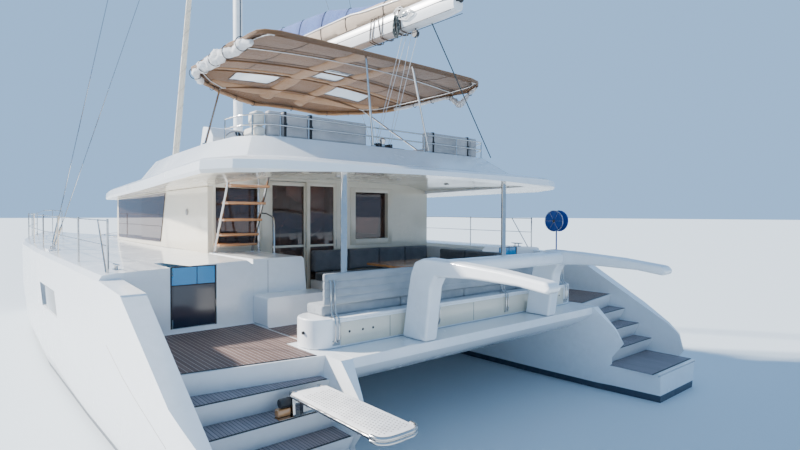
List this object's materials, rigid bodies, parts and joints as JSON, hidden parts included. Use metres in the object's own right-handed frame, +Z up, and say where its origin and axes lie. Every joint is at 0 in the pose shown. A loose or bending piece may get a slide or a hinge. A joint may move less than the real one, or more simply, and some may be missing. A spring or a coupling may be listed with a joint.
{
  "type": "sailing catamaran",
  "caption": "Cruising sailing catamaran with flybridge, hardtop cockpit, furled sails, davits, twin rudders and propellers, hinged boom, doors, lids and gangway.",
  "frame": {"origin": "on the waterline, midships, on the centreline between the hulls", "axes": "+Z up, +Y forward to the bows, +X to starboard"},
  "size_m": [8.6, 16.575, 24.12],
  "materials": {
    "white_gelcoat": "polished moulded gelcoat",
    "cream_gelcoat": "satin cream moulding",
    "varnished_wood": "varnished hardwood",
    "stainless": "polished stainless steel",
    "white_alloy": "painted or anodised alloy",
    "bare_alloy": "anodised alloy",
    "tinted_glass": "tinted glazing",
    "blue_glazing": "blue tinted acrylic",
    "grey_upholstery": "grey outdoor upholstery",
    "dark_upholstery": "dark grey upholstery",
    "tan_canvas": "tan acrylic canvas",
    "sailcloth": "beige sail cover cloth",
    "netting": "white polyester net",
    "bronze": "bare bronze",
    "antifouling": "matt dark blue antifouling",
    "navy_fabric": "navy plastic and webbing"
  },
  "bodies": {
    "boat": {"hull_port": "white_gelcoat", "saildrive_port": "bare_alloy", "hull_starboard": "white_gelcoat", "saildrive_starboard": "bare_alloy", "bridgedeck": "white_gelcoat", "crossbeam": "white_alloy", "bow_walkway": "white_gelcoat", "trampoline_port": "netting", "trampoline_starboard": "netting", "hardtop": "white_gelcoat", "saloon_side_starboard": "cream_gelcoat", "side_glass_starboard": "tinted_glass", "saloon_side_port": "cream_gelcoat", "side_glass_port": "tinted_glass", "saloon_front": "cream_gelcoat", "front_glass": "tinted_glass", "saloon_aft_bulkhead": "cream_gelcoat", "aft_window_port": "tinted_glass", "aft_window_starboard": "tinted_glass", "saloon_door_fixed": "cream_gelcoat", "hardtop_post_port": "stainless", "hardtop_post_starboard": "stainless", "side_deck_port": "white_gelcoat", "flybridge_stairs": "varnished_wood", "aft_bench": "white_gelcoat", "aft_bench_cushion": "grey_upholstery", "aft_bench_backrest": "grey_upholstery", "cockpit_sofa": "dark_upholstery", "cockpit_table": "varnished_wood", "flybridge_cushion_port": "grey_upholstery", "flybridge_cushion_starboard": "grey_upholstery", "helm_console": "white_gelcoat", "bimini_canopy": "tan_canvas", "bimini_frame": "stainless", "mast": "white_alloy", "furled_headsail": "sailcloth", "cap_shroud_port": "stainless", "lower_shroud_port": "stainless", "cap_shroud_starboard": "stainless", "lower_shroud_starboard": "stainless", "davit_port": "white_gelcoat", "davit_starboard": "white_gelcoat", "davit_beam": "white_gelcoat", "gangway_bracket": "stainless", "guardrail_port": "stainless", "guardrail_starboard": "stainless", "line_reel": "navy_fabric"},
    "boom": {"boom": "white_alloy", "sail_bag": "sailcloth"},
    "rudder_port": {"rudder_port": "antifouling"},
    "rudder_starboard": {"rudder_starboard": "antifouling"},
    "propeller_port": {"propeller_port": "bronze"},
    "propeller_starboard": {"propeller_starboard": "bronze"},
    "helm_wheel": {"helm_wheel": "stainless"},
    "saloon_door": {"saloon_door_sliding": "cream_gelcoat"},
    "aft_cabin_door_port": {"aft_cabin_door_port": "blue_glazing"},
    "aft_cabin_door_starboard": {"aft_cabin_door_starboard": "blue_glazing"},
    "gangway": {"gangway": "bare_alloy"},
    "foredeck_lid_port": {"foredeck_lid_port": "white_gelcoat"},
    "foredeck_lid_starboard": {"foredeck_lid_starboard": "white_gelcoat"}
  },
  "joints": [
    {"name": "boom_swing", "type": "hinge", "parent": "boat", "child": "boom", "pos_m": [0, 1.115, 6.04], "axis": [0, 0, 1], "range_deg": [-60, 60]},
    {"name": "rudder_port_turn", "type": "hinge", "parent": "boat", "child": "rudder_port", "pos_m": [-3.3, -6.85, 0], "axis": [0, 0, 1], "range_deg": [-35, 35]},
    {"name": "rudder_starboard_turn", "type": "hinge", "parent": "boat", "child": "rudder_starboard", "pos_m": [3.3, -6.85, 0], "axis": [0, 0, 1], "range_deg": [-35, 35]},
    {"name": "helm_turn", "type": "hinge", "parent": "boat", "child": "helm_wheel", "pos_m": [-0.9, -0.7, 4.3], "axis": [0, 1, 0], "range_deg": [-500, 500]},
    {"name": "propeller_port_spin", "type": "hinge", "parent": "boat", "child": "propeller_port", "pos_m": [-3.3, -4.6403, -0.93], "axis": [0, 1, 0], "continuous": true},
    {"name": "propeller_starboard_spin", "type": "hinge", "parent": "boat", "child": "propeller_starboard", "pos_m": [3.3, -4.6403, -0.93], "axis": [0, 1, 0], "continuous": true},
    {"name": "saloon_door_slide", "type": "slide", "parent": "boat", "child": "saloon_door", "axis": [1, 0, 0], "range_m": [0, 0.59]},
    {"name": "aft_cabin_door_port_swing", "type": "hinge", "parent": "boat", "child": "aft_cabin_door_port", "pos_m": [-3.484, -4.582, 1.44], "axis": [0, 0, -1], "range_deg": [0, 90]},
    {"name": "aft_cabin_door_starboard_swing", "type": "hinge", "parent": "boat", "child": "aft_cabin_door_starboard", "pos_m": [3.484, -4.582, 1.44], "axis": [0, 0, 1], "range_deg": [0, 90]},
    {"name": "gangway_lift", "type": "hinge", "parent": "boat", "child": "gangway", "pos_m": [-2.9, -6.86, 1.13], "axis": [-1, 0, 0], "range_deg": [0, 80]},
    {"name": "foredeck_lid_port_lift", "type": "hinge", "parent": "boat", "child": "foredeck_lid_port", "pos_m": [-1.15, 3.4, 2.2726], "axis": [1, 0, 0], "range_deg": [0, 85]},
    {"name": "foredeck_lid_starboard_lift", "type": "hinge", "parent": "boat", "child": "foredeck_lid_starboard", "pos_m": [1.15, 3.4, 2.2726], "axis": [1, 0, 0], "range_deg": [0, 85]}
  ],
  "couplings": [
    {"joint": "rudder_starboard_turn", "follows": "rudder_port_turn", "ratio": 1},
    {"joint": "helm_turn", "follows": "rudder_port_turn", "ratio": 14.286}
  ]
}
